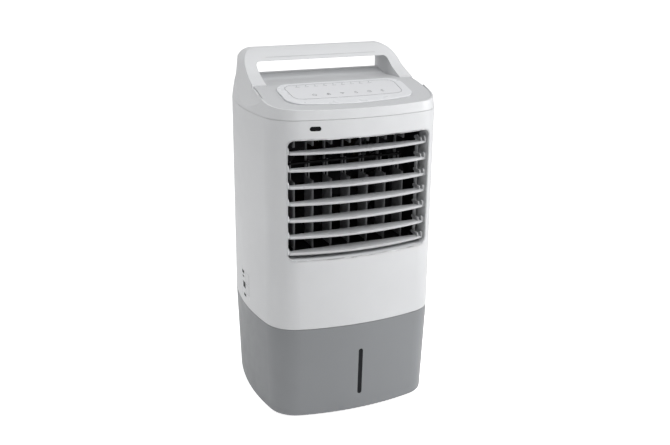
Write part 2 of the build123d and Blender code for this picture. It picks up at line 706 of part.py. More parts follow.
with BuildPart() as motor_bracket:
    extrude(fan_disc(SHROUD_BACK, MOTOR_RADIUS + 4, 12), amount=-BRACKET_THICK)
    with BuildSketch(Plane.XZ.offset(-SHROUD_BACK)):
        for angle in DIAGONALS:
            direction = Vector(1, 0).rotate(Axis.Z, angle)
            with Locations(Location((direction.X * 80, FAN_Z + direction.Y * 80), angle)):
                SlotOverall(86, 12)
    extrude(amount=-BRACKET_THICK)
    with BuildSketch(Plane.XZ.offset(-SHROUD_BACK)):
        with Locations((0, FAN_Z)):
            with PolarLocations(BRACKET_REACH, 4, 45):
                Circle(2.1)
    extrude(amount=-BRACKET_THICK, mode=Mode.SUBTRACT)
write(motor_bracket, "motor_bracket")

with BuildPart() as bracket_screws:
    with BuildSketch(Plane.XZ.offset(-MOTOR_FRONT)):
        with Locations((0, FAN_Z)):
            with PolarLocations(BRACKET_REACH, 4, 45):
                Circle(3.6)
    extrude(amount=-2.4)
    with BuildSketch(Plane.XZ.offset(-MOTOR_FRONT)):
        with Locations((0, FAN_Z)):
            with PolarLocations(BRACKET_REACH, 4, 45):
                Circle(1.6)
    extrude(amount=BRACKET_THICK + 2.5)
write(bracket_screws, "bracket_screws")

with BuildPart() as fan_motor:
    extrude(fan_disc(MOTOR_FRONT, MOTOR_RADIUS), amount=MOTOR_FRONT - MOTOR_BACK)
    fillet(fan_motor.faces().sort_by(Axis.Y)[-1].edges(), 8)
    extrude(fan_disc(MOTOR_FRONT, 11), amount=4)
    extrude(fan_disc(MOTOR_FRONT - 5, SHAFT_RADIUS + 0.05), amount=-45, mode=Mode.SUBTRACT)
write(fan_motor, "fan_motor")

ROTOR_FRONT = -30.0
ROTOR_BACK = 3.0


def rotor_section(radius, chord, pitch):
    """Rounded blade section, square to a radius of the fan that points straight up."""
    middle = (ROTOR_FRONT + ROTOR_BACK) / 2
    with BuildSketch(Plane((0, middle, FAN_Z + radius), x_dir=(1, 0, 0), z_dir=(0, 0, 1))) as section:
        SlotOverall(chord, 3.0, rotation=pitch)
    return section.sketch


with BuildPart() as rotor_blade:
    loft([rotor_section(28, 36, 42), rotor_section(66, 48, 32), rotor_section(120, 58, 24)])
    with BuildSketch(Plane.XZ.offset(-ROTOR_FRONT + 30)):
        with Locations((0, FAN_Z)):
            Circle(FAN_TIP)
            Circle(FAN_HUB - 2, mode=Mode.SUBTRACT)
    extrude(amount=-90, mode=Mode.INTERSECT)

FAN_AXIS = Axis((0, 0, FAN_Z), (0, 1, 0))
with BuildPart() as fan_rotor:
    extrude(fan_disc(ROTOR_FRONT, FAN_HUB), amount=ROTOR_FRONT - ROTOR_BACK)
    fillet(fan_rotor.faces().sort_by(Axis.Y)[0].edges(), 6)
    for k in range(FAN_BLADES):
        add(rotor_blade.part.rotate(FAN_AXIS, k * 360 / FAN_BLADES))
    extrude(fan_disc(ROTOR_FRONT + 8, SHAFT_RADIUS), amount=-60, mode=Mode.SUBTRACT)
write(fan_rotor, "fan_rotor")

with BuildPart() as fan_shaft:
    extrude(fan_disc(ROTOR_FRONT + 8, SHAFT_RADIUS), amount=ROTOR_FRONT + 8 - MOTOR_FRONT - 36)
write(fan_shaft, "fan_shaft")

with BuildPart() as motor_capacitor:
    with Locations((-128, SHROUD_FRONT + 2.5, 262)):
        Box(38, 16, 28, align=(Align.CENTER, Align.MIN, Align.CENTER))
    fillet(motor_capacitor.edges(), 1.5)
write(motor_capacitor, "motor_capacitor")


# ==== wet section: pad, its frame, distributor, hose, pump and drip tray ===========================
FRAME_WALL = 5.0
with BuildPart() as pad_frame:
    with BuildSketch(Plane.XZ.offset(-PAD_FRONT + 2)):
        with Locations((0, (PAD_LOW + PAD_HIGH) / 2)):
            RectangleRounded(2 * (PAD_HALF + FRAME_WALL), PAD_HIGH - PAD_LOW + 2 * FRAME_WALL, 3)
    extrude(amount=-(PAD_BACK - PAD_FRONT) - 3)
    with BuildSketch(Plane.XZ.offset(-PAD_FRONT)):
        with Locations((0, (PAD_LOW + PAD_HIGH) / 2)):
            Rectangle(2 * PAD_HALF, PAD_HIGH - PAD_LOW)
    extrude(amount=-60, mode=Mode.SUBTRACT)
    # front bars that keep the pad in
    with BuildSketch(Plane.XZ.offset(-PAD_FRONT + 2)):
        with Locations((0, (PAD_LOW + PAD_HIGH) / 2)):
            with GridLocations(2 * PAD_HALF / 3, (PAD_HIGH - PAD_LOW) / 4, 3, 4):
                Rectangle(2 * PAD_HALF / 3 - 5, (PAD_HIGH - PAD_LOW) / 4 - 5)
    extrude(amount=-2, mode=Mode.SUBTRACT)
    # holes that let the water through, above and below the pad
    with BuildSketch(Plane.XY.offset(PAD_LOW - FRAME_WALL - 1)):
        with Locations((0, (PAD_FRONT + PAD_BACK) / 2)):
            with GridLocations(30, 0, 7, 1):
                SlotOverall(20, 6)
    extrude(amount=400, mode=Mode.SUBTRACT)
write(pad_frame, "pad_frame")

with BuildPart() as cooling_pad:
    with Locations((0, PAD_FRONT, PAD_LOW)):
        Box(2 * PAD_HALF, PAD_BACK - PAD_FRONT, PAD_HIGH - PAD_LOW, align=(Align.CENTER, Align.MIN, Align.MIN))
write(cooling_pad, "cooling_pad")

TROUGH_LOW = PAD_HIGH + FRAME_WALL
with BuildPart() as water_distributor:
    with Locations((0, PAD_FRONT, TROUGH_LOW)):
        Box(2 * PAD_HALF, PAD_BACK - PAD_FRONT, 20, align=(Align.CENTER, Align.MIN, Align.MIN))
    fillet(water_distributor.edges().filter_by(Axis.Z), 4)
    offset(amount=-2, openings=water_distributor.faces().sort_by(Axis.Z)[-1])
    with BuildSketch(Plane.XY.offset(TROUGH_LOW)):
        with Locations((0, (PAD_FRONT + PAD_BACK) / 2)):
            with GridLocations(10, 0, 21, 1):
                Circle(1.5)
    extrude(amount=3, mode=Mode.SUBTRACT)
    with BuildSketch(Plane.XZ.offset(-PAD_FRONT)):
        with Locations((PUMP_X, HOSE_TOP)):
            Circle(HOSE_RADIUS)
    extrude(amount=-3, mode=Mode.SUBTRACT)
write(water_distributor, "water_distributor")

PUMP_HIGH = PUMP_LOW + 44
SPOUT_RADIUS = 3.5
with BuildPart() as pump_body:
    with Locations((PUMP_X, PUMP_Y, PUMP_LOW)):
        Cylinder(PUMP_RADIUS, PUMP_HIGH - PUMP_LOW, align=(Align.CENTER, Align.CENTER, Align.MIN))
    fillet(pump_body.faces().sort_by(Axis.Z)[-1].edges(), 3)
    with Locations((PUMP_X, PUMP_Y, PUMP_HIGH)):
        Cylinder(SPOUT_RADIUS, 14, align=(Align.CENTER, Align.CENTER, Align.MIN))
    # impeller chamber with an intake grid round it
    with Locations((PUMP_X, PUMP_Y, PUMP_LOW + 2)):
        Cylinder(PUMP_RADIUS - 3.5, 12, align=(Align.CENTER, Align.CENTER, Align.MIN), mode=Mode.SUBTRACT)
    with BuildSketch(Plane.XY.offset(PUMP_LOW + 4)):
        with Locations((PUMP_X, PUMP_Y)):
            with PolarLocations(PUMP_RADIUS, 12):
                Rectangle(10, 3)
    extrude(amount=8, mode=Mode.SUBTRACT)
    with Locations((PUMP_X, PUMP_Y, PUMP_LOW + 10)):
        Cylinder(1.55, 14, align=(Align.CENTER, Align.CENTER, Align.MIN), mode=Mode.SUBTRACT)
write(pump_body, "pump_body")

with BuildPart() as pump_impeller:
    with Locations((PUMP_X, PUMP_Y, PUMP_LOW + 4)):
        Cylinder(14, 1.5, align=(Align.CENTER, Align.CENTER, Align.MIN))
        Cylinder(4, 8, align=(Align.CENTER, Align.CENTER, Align.MIN))
        Cylinder(1.5, 18, align=(Align.CENTER, Align.CENTER, Align.MIN))
    with BuildSketch(Plane.XY.offset(PUMP_LOW + 5)):
        with Locations((PUMP_X, PUMP_Y)):
            with PolarLocations(8.5, 6):
                Rectangle(10, 1.4)
    extrude(amount=6)
write(pump_impeller, "pump_impeller")

with BuildPart() as pump_bracket:
    with Locations((PUMP_X, PUMP_Y + PUMP_RADIUS, PUMP_LOW + 20)):
        Box(26, 3, TRAY_LOW - PUMP_LOW - 20, align=(Align.CENTER, Align.MIN, Align.MIN))
    with Locations((PUMP_X, PUMP_Y + PUMP_RADIUS - 9, TRAY_LOW - 3)):
        Box(26, 12, 3, align=(Align.CENTER, Align.MIN, Align.MIN))
write(pump_bracket, "pump_bracket")

with BuildPart() as water_hose:
    with BuildLine() as hose_route:
        FilletPolyline((PUMP_X, PUMP_Y, PUMP_HIGH), (PUMP_X, PUMP_Y, HOSE_TOP),
                       (PUMP_X, PAD_FRONT + 5, HOSE_TOP), radius=18)
    with BuildSketch(Plane.XY.offset(PUMP_HIGH)):
        with Locations((PUMP_X, PUMP_Y)):
            Circle(HOSE_RADIUS)
            Circle(SPOUT_RADIUS, mode=Mode.SUBTRACT)
    sweep(path=hose_route.line)
write(water_hose, "water_hose")

with BuildPart() as drip_tray:
    extrude(outline(WALL + 0.5, TRAY_LOW), amount=12)
    extrude(outline(WALL + 2.5, TRAY_LOW + 2.5), amount=20, mode=Mode.SUBTRACT)
    with BuildSketch(Plane.XY.offset(TRAY_LOW - 1)):
        with Locations((0, (PAD_FRONT + PAD_BACK) / 2)):
            with GridLocations(30, 0, 7, 1):
                SlotOverall(20, 6)
        with Locations((PUMP_X, PUMP_Y)):
            Circle(HOSE_RADIUS + 1.5)
    extrude(amount=10, mode=Mode.SUBTRACT)
    # low walls that carry the pad frame
    carrier = PAD_LOW - FRAME_WALL - TRAY_LOW - 2
    with Locations((0, PAD_FRONT, TRAY_LOW + 2)):
        with GridLocations(160, 0, 2, 1):
            Box(6, PAD_BACK - PAD_FRONT, carrier, align=(Align.CENTER, Align.MIN, Align.MIN))
    # catch behind which the tank's latch turns
    with Locations((LATCH_X, TONGUE_FRONT + TONGUE_THICK + 0.6, TRAY_LOW + 1)):
        Box(26, 3, 6.5, align=(Align.CENTER, Align.MIN, Align.MAX))
write(drip_tray, "drip_tray")


# ==== water tank, its rear face and the latch =======================================================
def tank_solid(inset, low, high):
    with BuildPart() as solid:
        with BuildSketch(Plane.XY.offset(low)) as plan:
            with Locations((0, (TANK_FRONT + TANK_REAR) / 2)):
                Rectangle(2 * (TANK_HALF - inset), TANK_REAR - TANK_FRONT - 2 * inset)
            fillet(plan.vertices().sort_by(Axis.Y)[:2], 48 - inset)
            fillet(plan.vertices().sort_by(Axis.Y)[-2:], 10 - inset)
        extrude(amount=high - low)
    return solid.part


with BuildPart() as water_tank:
    add(tank_solid(0, TANK_LOW, TANK_HIGH))
    fillet(water_tank.faces().sort_by(Axis.Z)[0].edges(), 5)
    add(tank_solid(-2.5, TANK_HIGH - 3, TANK_HIGH))
    add(tank_solid(WALL, TANK_LOW + WALL, TANK_HIGH + 1), mode=Mode.SUBTRACT)
write(water_tank, "water_tank")

FACE_LOW = TANK_LOW + 0.2
FACE_HIGH = BASE_TOP
FACE_THICK = 4.0
LATCH_POCKET = 17.0
FINGER_Z = 138.0
CUP_DEPTH = 14.0
with BuildPart() as face_hollow:
    add(base_solid(FACE_THICK, FACE_LOW - 1))
    # cups of the finger recess and of the latch's recess stand in the hollow behind the face
    with BuildSketch(REAR_PLANE):
        with Locations((0, FINGER_Z)):
            RectangleRounded(124, 44, 10)
    extrude(amount=CUP_DEPTH, mode=Mode.SUBTRACT)
    with BuildSketch(REAR_PLANE):
        with Locations((LATCH_X, LATCH_Z)):
            Circle(LATCH_POCKET - 1)
    extrude(amount=CUP_DEPTH, mode=Mode.SUBTRACT)

with BuildPart() as face_block:
    add(base_solid(0, FACE_LOW))
    extrude(opening(FACE_HALF, FACE_LOW - 10, FACE_HIGH + 10, 3, REAR_PLANE.offset(-2)), amount=40,
            mode=Mode.INTERSECT)

with BuildPart() as tank_face:
    add(face_block.part)
    add(face_hollow.part, mode=Mode.SUBTRACT)
    with BuildSketch(REAR_PLANE):
        with Locations((0, FINGER_Z)):
            RectangleRounded(118, 38, 8)
    extrude(amount=CUP_DEPTH - 2.5, mode=Mode.SUBTRACT)
    with BuildSketch(REAR_PLANE):
        with Locations((LATCH_X, LATCH_Z)):
            Circle(LATCH_POCKET - 3)
    extrude(amount=CUP_DEPTH - 3, mode=Mode.SUBTRACT)
    with BuildSketch(REAR_PLANE):
        with Locations((LATCH_X, LATCH_Z)):
            Circle(4.05)
    extrude(amount=20, mode=Mode.SUBTRACT)
    # ribs that join the face to the tank
    with Locations((0, TANK_REAR, 20)):
        with GridLocations(150, 0, 2, 1):
            Box(4, 14, 80, align=(Align.CENTER, Align.MIN, Align.MIN))
write(tank_face, "tank_face")

KNOB_BACK = 141.4             # rear of the knob's disc, just clear of its recess
with BuildPart() as tank_latch:
    with BuildSketch(Plane.XZ.offset(-KNOB_BACK)):
        with Locations((LATCH_X, LATCH_Z)):
            Circle(13.2)
    extrude(amount=-3)
    with BuildSketch(Plane.XZ.offset(-KNOB_BACK)):
        with Locations((LATCH_X, LATCH_Z)):
            SlotOverall(24, 6)
    extrude(amount=-9)
    with BuildSketch(Plane.XZ.offset(-KNOB_BACK)):
        with Locations((LATCH_X, LATCH_Z)):
            Circle(4)
    extrude(amount=KNOB_BACK - TONGUE_FRONT)
    with BuildSketch(Plane.XZ.offset(-TONGUE_FRONT)):
        with Locations((LATCH_X + LATCH_REACH / 2 - 2, LATCH_Z)):
            SlotOverall(LATCH_REACH + 4, 9)
    extrude(amount=-TONGUE_THICK)
write(tank_latch, "tank_latch")


# ==== rear intake: grille, dust filter, gland ======================================================
GRILLE_THICK = 9.0
SLAT_ROWS = 27
with BuildPart() as rear_grille:
    extrude(opening(INTAKE_HALF, INTAKE_LOW, INTAKE_HIGH, 8, REAR_PLANE), amount=22)
    with BuildSketch(REAR_PLANE):
        with Locations((0, (INTAKE_LOW + INTAKE_HIGH) / 2)):
            with GridLocations((2 * INTAKE_HALF - 16) / 3, SLAT_PITCH, 3, SLAT_ROWS):
                Rectangle((2 * INTAKE_HALF - 16) / 3 - 4, SLAT_PITCH - SLAT_THICK)
    extrude(amount=22, mode=Mode.SUBTRACT)
    add(prism(0, BASE_SEAM, COVER_SEAM), mode=Mode.INTERSECT)
    add(prism(GRILLE_THICK, BASE_SEAM - 1, COVER_SEAM + 1), mode=Mode.SUBTRACT)
write(rear_grille, "rear_grille")

FILTER_HALF = 123.0
FILTER_FRONT = PAD_BACK + 2.2
with BuildPart() as dust_filter:
    extrude(opening(FILTER_HALF, INTAKE_LOW + 4, INTAKE_HIGH - 4, 4, Plane.XZ.offset(-FILTER_FRONT)),
            amount=-3.5)
    extrude(opening(FILTER_HALF - 6, INTAKE_LOW + 10, INTAKE_HIGH - 10, 2,
                    Plane.XZ.offset(-FILTER_FRONT - 1)), amount=-3, mode=Mode.SUBTRACT)
write(dust_filter, "dust_filter")

GLAND_FRONT = 143.7
GLAND_REAR = 151.5
with BuildPart() as cord_gland:
    with BuildSketch(Plane.XZ.offset(-GLAND_FRONT)):
        with Locations((GLAND_X, GLAND_Z)):
            Circle(GLAND_RADIUS)
    extrude(amount=-5.3)
    with BuildSketch(Plane.XZ.offset(-GLAND_FRONT)):
        with Locations((GLAND_X, GLAND_Z)):
            Circle(5.2)
    extrude(amount=GLAND_FRONT - GLAND_REAR)
    with BuildSketch(Plane.XZ.offset(-GLAND_REAR)):
        with Locations((GLAND_X, GLAND_Z)):
            Circle(3.4)
    extrude(amount=6, mode=Mode.SUBTRACT)
write(cord_gland, "cord_gland")

with BuildPart() as ir_receiver:
    with Locations((IR_X, FRONT + 14, IR_Z)):
        Box(14, 2, 12, align=(Align.CENTER, Align.MIN, Align.CENTER))
    with BuildSketch(Plane.XZ.offset(-FRONT - 14)):
        with Locations((IR_X, IR_Z)):
            RectangleRounded(7, 6, 1.5)
    extrude(amount=1.3)
write(ir_receiver, "ir_receiver")
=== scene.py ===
import json
import math

import bmesh
import bpy
from mathutils import Matrix, Vector
from mathutils.bvhtree import BVHTree


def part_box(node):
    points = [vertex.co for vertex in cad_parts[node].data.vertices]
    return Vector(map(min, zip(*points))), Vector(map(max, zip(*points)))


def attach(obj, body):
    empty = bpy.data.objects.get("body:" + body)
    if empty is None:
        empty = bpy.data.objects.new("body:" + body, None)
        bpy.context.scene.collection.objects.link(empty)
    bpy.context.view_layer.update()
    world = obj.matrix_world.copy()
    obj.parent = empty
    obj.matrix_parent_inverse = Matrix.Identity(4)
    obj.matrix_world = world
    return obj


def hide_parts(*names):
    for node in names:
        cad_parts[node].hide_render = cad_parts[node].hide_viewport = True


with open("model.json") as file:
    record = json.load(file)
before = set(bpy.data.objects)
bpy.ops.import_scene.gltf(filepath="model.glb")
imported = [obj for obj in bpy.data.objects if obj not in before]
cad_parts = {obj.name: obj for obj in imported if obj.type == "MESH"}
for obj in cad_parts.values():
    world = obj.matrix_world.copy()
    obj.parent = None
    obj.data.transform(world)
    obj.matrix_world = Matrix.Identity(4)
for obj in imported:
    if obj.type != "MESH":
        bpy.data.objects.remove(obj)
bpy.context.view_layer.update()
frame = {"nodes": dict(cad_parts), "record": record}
NODES = frame["nodes"]
BODIES = frame["record"]["behaviour"]["bodies"]
BODY_OF = {node: body for body, nodes in BODIES.items() for node in nodes}
SLOT_OF = {part["node"]: part["material_slot"] for part in frame["record"]["subparts"]}
MM = 0.001


# ==== materials ====================================================================================
EDGE = 0.7 * MM        # radius that edges are shaded with
MOTTLE = 0.03          # how far flow marks change a moulding's tone
SHINE = 0.5            # specular level of most finishes
MATT_SHINE = 0.15      # and of the dark, deep-set ones


class Shader:
    """A node material with a Principled shader and a few short ways to add texture to it."""

    def __init__(self, name):
        self.material = bpy.data.materials.new(name)
        self.material.use_nodes = True
        self.tree = self.material.node_tree
        self.shader = self.tree.nodes["Principled BSDF"]
        self.place = self.node("ShaderNodeTexCoord").outputs["Object"]

    def node(self, kind, **values):
        node = self.tree.nodes.new(kind)
        for key, value in values.items():
            setattr(node, key, value)
        return node

    def link(self, start, end):
        self.tree.links.new(start, end)

    def stretched(self, scale):
        """Object coordinates scaled along each axis."""
        mapping = self.node("ShaderNodeMapping")
        mapping.inputs["Scale"].default_value = scale
        self.link(self.place, mapping.inputs["Vector"])
        return mapping.outputs["Vector"]

    def noise(self, scale, detail=3.0, place=None):
        noise = self.node("ShaderNodeTexNoise")
        noise.inputs["Scale"].default_value = scale
        noise.inputs["Detail"].default_value = detail
        self.link(place or self.place, noise.inputs["Vector"])
        return noise.outputs["Fac"]

    def wave(self, scale, direction):
        wave = self.node("ShaderNodeTexWave", bands_direction=direction)
        wave.inputs["Scale"].default_value = scale
        self.link(self.place, wave.inputs["Vector"])
        return wave.outputs["Fac"]

    def span(self, value, low, high, start=0.3, end=0.7):
        """value from start to end, mapped onto low to high."""
        node = self.node("ShaderNodeMapRange")
        limits = {"From Min": start, "From Max": end, "To Min": low, "To Max": high}
        for key, number in limits.items():
            node.inputs[key].default_value = number
        self.link(value, node.inputs["Value"])
        return node.outputs["Result"]

    def larger(self, first, second):
        node = self.node("ShaderNodeMath", operation="MAXIMUM")
        self.link(first, node.inputs[0])
        self.link(second, node.inputs[1])
        return node.outputs["Value"]

    def mix(self, factor, first, second):
        """Colour between first and second, each a colour or a socket."""
        node = self.node("ShaderNodeMix", data_type="RGBA")
        self.link(factor, node.inputs["Factor"])
        for key, colour in (("A", first), ("B", second)):
            socket = [s for s in node.inputs if s.name == key and s.type == "RGBA"][0]
            if isinstance(colour, tuple):
                socket.default_value = (*colour, 1)
            else:
                self.link(colour, socket)
        return [s for s in node.outputs if s.type == "RGBA"][0]

    def colour(self, socket):
        self.link(socket, self.shader.inputs["Base Color"])

    def rough(self, socket):
        self.link(socket, self.shader.inputs["Roughness"])

    def bump(self, height, depth, edge=EDGE):
        """Relief of a depth from height, over edges rounded to a small radius."""
        node = self.node("ShaderNodeBump")
        node.inputs["Distance"].default_value = depth
        if edge:
            rounded = self.node("ShaderNodeBevel", samples=4)
            rounded.inputs["Radius"].default_value = edge
            self.link(rounded.outputs["Normal"], node.inputs["Normal"])
        self.link(height, node.inputs["Height"])
        self.link(node.outputs["Normal"], self.shader.inputs["Normal"])

    def set(self, **values):
        """Values that are the same all over. Gives the material."""
        for key, value in values.items():
            self.shader.inputs[key.replace("_", " ")].default_value = value
        return self.material


def shade(colour, factor):
    return tuple(channel * factor for channel in colour)


def moulded(name, colour, rough, grain=1400, depth=0.02 * MM, spread=0.05, edge=EDGE):
    """Injection-moulded plastic: fine eroded grain, slight flow marks and uneven gloss."""
    plastic = Shader(name)
    flow = plastic.span(plastic.noise(7, 4), 0, 1)
    plastic.colour(plastic.mix(flow, shade(colour, 1 - MOTTLE), shade(colour, 1 + MOTTLE / 2)))
    plastic.rough(plastic.span(plastic.noise(35, 5), rough - spread, rough + spread))
    plastic.bump(plastic.noise(grain, 2), depth, edge)
    return plastic


def glossy(name, colour, rough):
    """Smooth glazed plastic."""
    return moulded(name, colour, rough, depth=0.005 * MM, spread=0.03)


def brushed(name, colour, rough, direction):
    """Metal with fine lines along one direction."""
    metal = Shader(name)
    lines = metal.noise(900, 4, metal.stretched(direction))
    metal.colour(metal.mix(metal.span(lines, 0, 1), shade(colour, 0.85), colour))
    metal.rough(metal.span(lines, rough - 0.08, rough + 0.1))
    metal.bump(lines, 0.02 * MM)
    metal.set(Metallic=1.0)
    return metal


def circuit(name):
    """Green solder mask with lighter copper tracks and pale pads."""
    mask, copper, solder = (0.015, 0.10, 0.035), (0.05, 0.24, 0.09), (0.62, 0.60, 0.52)
    board = Shader(name)
    brick = board.node("ShaderNodeTexBrick")
    brick.inputs["Scale"].default_value = 90
    brick.inputs["Mortar Size"].default_value = 0.06
    board.link(board.place, brick.inputs["Vector"])
    track = board.mix(brick.outputs["Fac"], mask, copper)
    pads = board.node("ShaderNodeTexVoronoi")
    pads.inputs["Scale"].default_value = 260
    board.link(board.place, pads.inputs["Vector"])
    off_pad = board.span(pads.outputs["Distance"], 1, 0, 0.12, 0.16)
    board.colour(board.mix(off_pad, track, solder))
    board.rough(board.span(board.noise(200), 0.3, 0.45))
    board.bump(brick.outputs["Fac"], 0.04 * MM)
    return board


def woven(name, colour, pitch):
    """Fine square mesh: threads both ways, with painted shade in the gaps between them where the real
    mesh is open.
    """
    cloth = Shader(name)
    scale = math.pi / (2 * pitch)
    threads = cloth.larger(cloth.wave(scale, "X"), cloth.wave(scale, "Z"))
    # The gaps get a quarter of the thread colour: painted shade standing for the open holes.
    cloth.colour(cloth.mix(cloth.span(threads, 0, 1, 0.55, 0.8), shade(colour, 0.25), colour))
    cloth.rough(cloth.span(cloth.noise(400), 0.55, 0.7))
    cloth.bump(threads, 0.3 * MM)
    return cloth


def cellulose(name):
    """Resin-stiffened paper: pale upright fibres over dark and lighter blotches."""
    dark, light, pale = (0.035, 0.027, 0.018), (0.055, 0.043, 0.03), (0.09, 0.072, 0.05)
    paper = Shader(name)
    fibre = paper.noise(420, 6, paper.stretched((1, 1, 0.25)))
    blotch = paper.span(paper.noise(16, 3), 0, 1)
    paper.colour(paper.mix(paper.span(fibre, 0, 0.6), paper.mix(blotch, dark, light), pale))
    paper.rough(paper.span(fibre, 0.75, 0.92))
    paper.bump(fibre, 0.12 * MM)
    return paper


def clear_milky(name, colour, rough, transmission):
    """Translucent moulding, such as a tank or a silicone hose."""
    plastic = Shader(name)
    cloud = plastic.span(plastic.noise(18, 4), 0, 1)
    plastic.colour(plastic.mix(cloud, shade(colour, 0.93), colour))
    plastic.rough(plastic.span(plastic.noise(60), rough - 0.05, rough + 0.08))
    plastic.bump(plastic.noise(700, 2), 0.03 * MM)
    plastic.set(Transmission_Weight=transmission, IOR=1.45)
    return plastic


def painted(name, colour, rough):
    """Enamel over metal, with orange peel."""
    paint = Shader(name)
    peel = paint.noise(320, 2)
    cloud = paint.span(paint.noise(12), 0, 1)
    paint.colour(paint.mix(cloud, shade(colour, 0.85), shade(colour, 1.1)))
    paint.rough(paint.span(peel, rough - 0.05, rough + 0.08))
    paint.bump(peel, 0.08 * MM)
    paint.set(Coat_Weight=0.25)
    return paint


WHITE = (0.66, 0.668, 0.68)
LOOKS = {
    "shell": moulded("white shell", WHITE, 0.34, edge=1.6 * MM),
    "base_grey": moulded("grey base", (0.24, 0.249, 0.26), 0.38),
    "trim_grey": moulded("grey surround", (0.52, 0.528, 0.54), 0.46, grain=1000, depth=0.04 * MM),
    "panel": moulded("white panel", (0.67, 0.68, 0.70), 0.3, edge=0),
    "keys": moulded("key membrane", (0.665, 0.672, 0.692), 0.22, grain=2200, depth=0.01 * MM),
    "smoked": glossy("infrared window", (0.006, 0.006, 0.007), 0.1),
    "window_clear": glossy("level window", (0.008, 0.009, 0.011), 0.12),
    "louvre_white": moulded("white louvre", (0.55, 0.557, 0.568), 0.32),
    "vane_black": moulded("dark vane", (0.21, 0.212, 0.22), 0.55),
    "link_white": moulded("white link", (0.70, 0.71, 0.72), 0.4),
    "rubber": moulded("rubber", (0.02, 0.02, 0.021), 0.75, grain=700, depth=0.08 * MM),
    "board": circuit("circuit board"),
    "inner_black": moulded("black inner moulding", (0.012, 0.012, 0.013), 0.6),
    "fan_plastic": moulded("black fan", (0.010, 0.010, 0.011), 0.55),
    "steel": brushed("zinc plate", (0.62, 0.63, 0.65), 0.32, (1, 0.05, 1)),
    "black_steel": painted("black steel", (0.012, 0.012, 0.013), 0.5),
    "motor_paint": painted("motor enamel", (0.03, 0.031, 0.034), 0.4),
    "pump_plastic": moulded("pump plastic", (0.03, 0.031, 0.034), 0.5),
    "hose_silicone": clear_milky("silicone hose", (0.60, 0.62, 0.63), 0.4, 0.35),
    "paper_pad": cellulose("cellulose pad"),
    "grille": moulded("white grille", (0.76, 0.77, 0.785), 0.36),
    "filter_mesh": woven("filter mesh", (0.10, 0.105, 0.11), 1.6 * MM),
    "tank_plastic": clear_milky("tank plastic", (0.66, 0.70, 0.74), 0.35, 0.45),
}
MATT = ("inner_black", "fan_plastic", "black_steel", "paper_pad", "filter_mesh", "smoked",
        "window_clear")
for slot, look in LOOKS.items():
    look.set(Specular_IOR_Level=MATT_SHINE if slot in MATT else SHINE)

INK = moulded("printed ink", (0.19, 0.195, 0.205), 0.5).material
FAINT = moulded("faint line", (0.42, 0.425, 0.44), 0.6).material
# Dark finish for the printed label bars and for the painted shade in the screws' cross recesses.
DARK_PRINT_AND_SHADE = moulded("dark print and recess shade", (0.03, 0.03, 0.032), 0.7).material
# Near-white finish for a painted highlight: light caught by the outlet frame's rounded lip.
PAINTED_RIM_HIGHLIGHT = moulded("painted rim highlight", (0.93, 0.935, 0.94), 0.2).material
LABEL = moulded("label sheet", (0.78, 0.79, 0.80), 0.25, grain=2500, depth=0.01 * MM).material
LAMP = glossy("lamp window", (0.14, 0.18, 0.21), 0.15).material

for name, node in NODES.items():
    node.data.materials.clear()
    node.data.materials.append(LOOKS[SLOT_OF[name]].material)
for name in ("vane_link", "vane_duct"):  # darker than the vanes they share a slot with
    NODES[name].data.materials[0] = LOOKS["inner_black"].material


# ==== mesh helpers =================================================================================
WELD = 0.001 * MM      # vertices this close are one
RAISED = 0.06 * MM     # how far a printed or painted shape stands out from the face it is on
SUNK = 0.05 * MM       # and how far it reaches in


def piece(name, mesh, node, look=None, smooth=True):
    """Link a mesh as a piece on a CAD node's body, with the finish of the node's slot or another
    look.
    """
    obj = bpy.data.objects.new(name, mesh)
    bpy.context.scene.collection.objects.link(obj)
    mesh.materials.clear()
    mesh.materials.append(look or LOOKS[SLOT_OF[node]].material)
    for face in mesh.polygons:
        face.use_smooth = smooth
    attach(obj, BODY_OF[node])
    return obj


def surface(node):
    """Search tree over a CAD node's mesh."""
    mesh = bmesh.new()
    mesh.from_mesh(NODES[node].data)
    tree = BVHTree.FromBMesh(mesh)
    mesh.free()
    return tree


def finished(mesh, name):
    """The bmesh as mesh data."""
    data = bpy.data.meshes.new(name)
    mesh.normal_update()
    mesh.to_mesh(data)
    mesh.free()
    return data


def thicken(mesh, move):
    """Turn flat faces into closed slabs: a copy of each face, moved, and a wall at each free edge."""
    faces = mesh.faces[:]
    walls = [(loop.vert, loop.link_loop_next.vert) for face in faces for loop in face.loops
             if len(loop.edge.link_faces) == 1]
    copy_of = {vert: mesh.verts.new(vert.co + move) for vert in mesh.verts[:]}
    for face in faces:
        mesh.faces.new([copy_of[vert] for vert in reversed(face.verts)])
    for first, second in walls:
        mesh.faces.new((second, first, copy_of[first], copy_of[second]))
    bmesh.ops.recalc_face_normals(mesh, faces=mesh.faces)


def inlay(name, node, shapes, place, towards, look, lift=RAISED):
    """Thin flat shapes on a CAD node, such as print or painted shade, where rays from place(u, v) in
    a direction meet it.
    """
    tree = surface(node)
    towards = Vector(towards)
    mesh = bmesh.new()
    for shape in shapes:
        hits = [tree.ray_cast(place(u, v), towards)[0] for u, v in shape]
        if None not in hits:
            mesh.faces.new([mesh.verts.new(hit - towards * lift) for hit in hits])
    bmesh.ops.remove_doubles(mesh, verts=mesh.verts, dist=WELD)
    thicken(mesh, towards * (lift + SUNK))
    return piece(name, finished(mesh, name), node, look, smooth=False)


def stroke(start, end, width, pieces=1):
    """Quads along a straight line."""
    run = Vector(end) - Vector(start)
    side = Vector((-run.y, run.x)).normalized() * width / 2
    quads = []
    for step in range(pieces):
        first = Vector(start) + run * step / pieces
        second = Vector(start) + run * (step + 1) / pieces
        quads.append((first - side, second - side, second + side, first + side))
    return quads


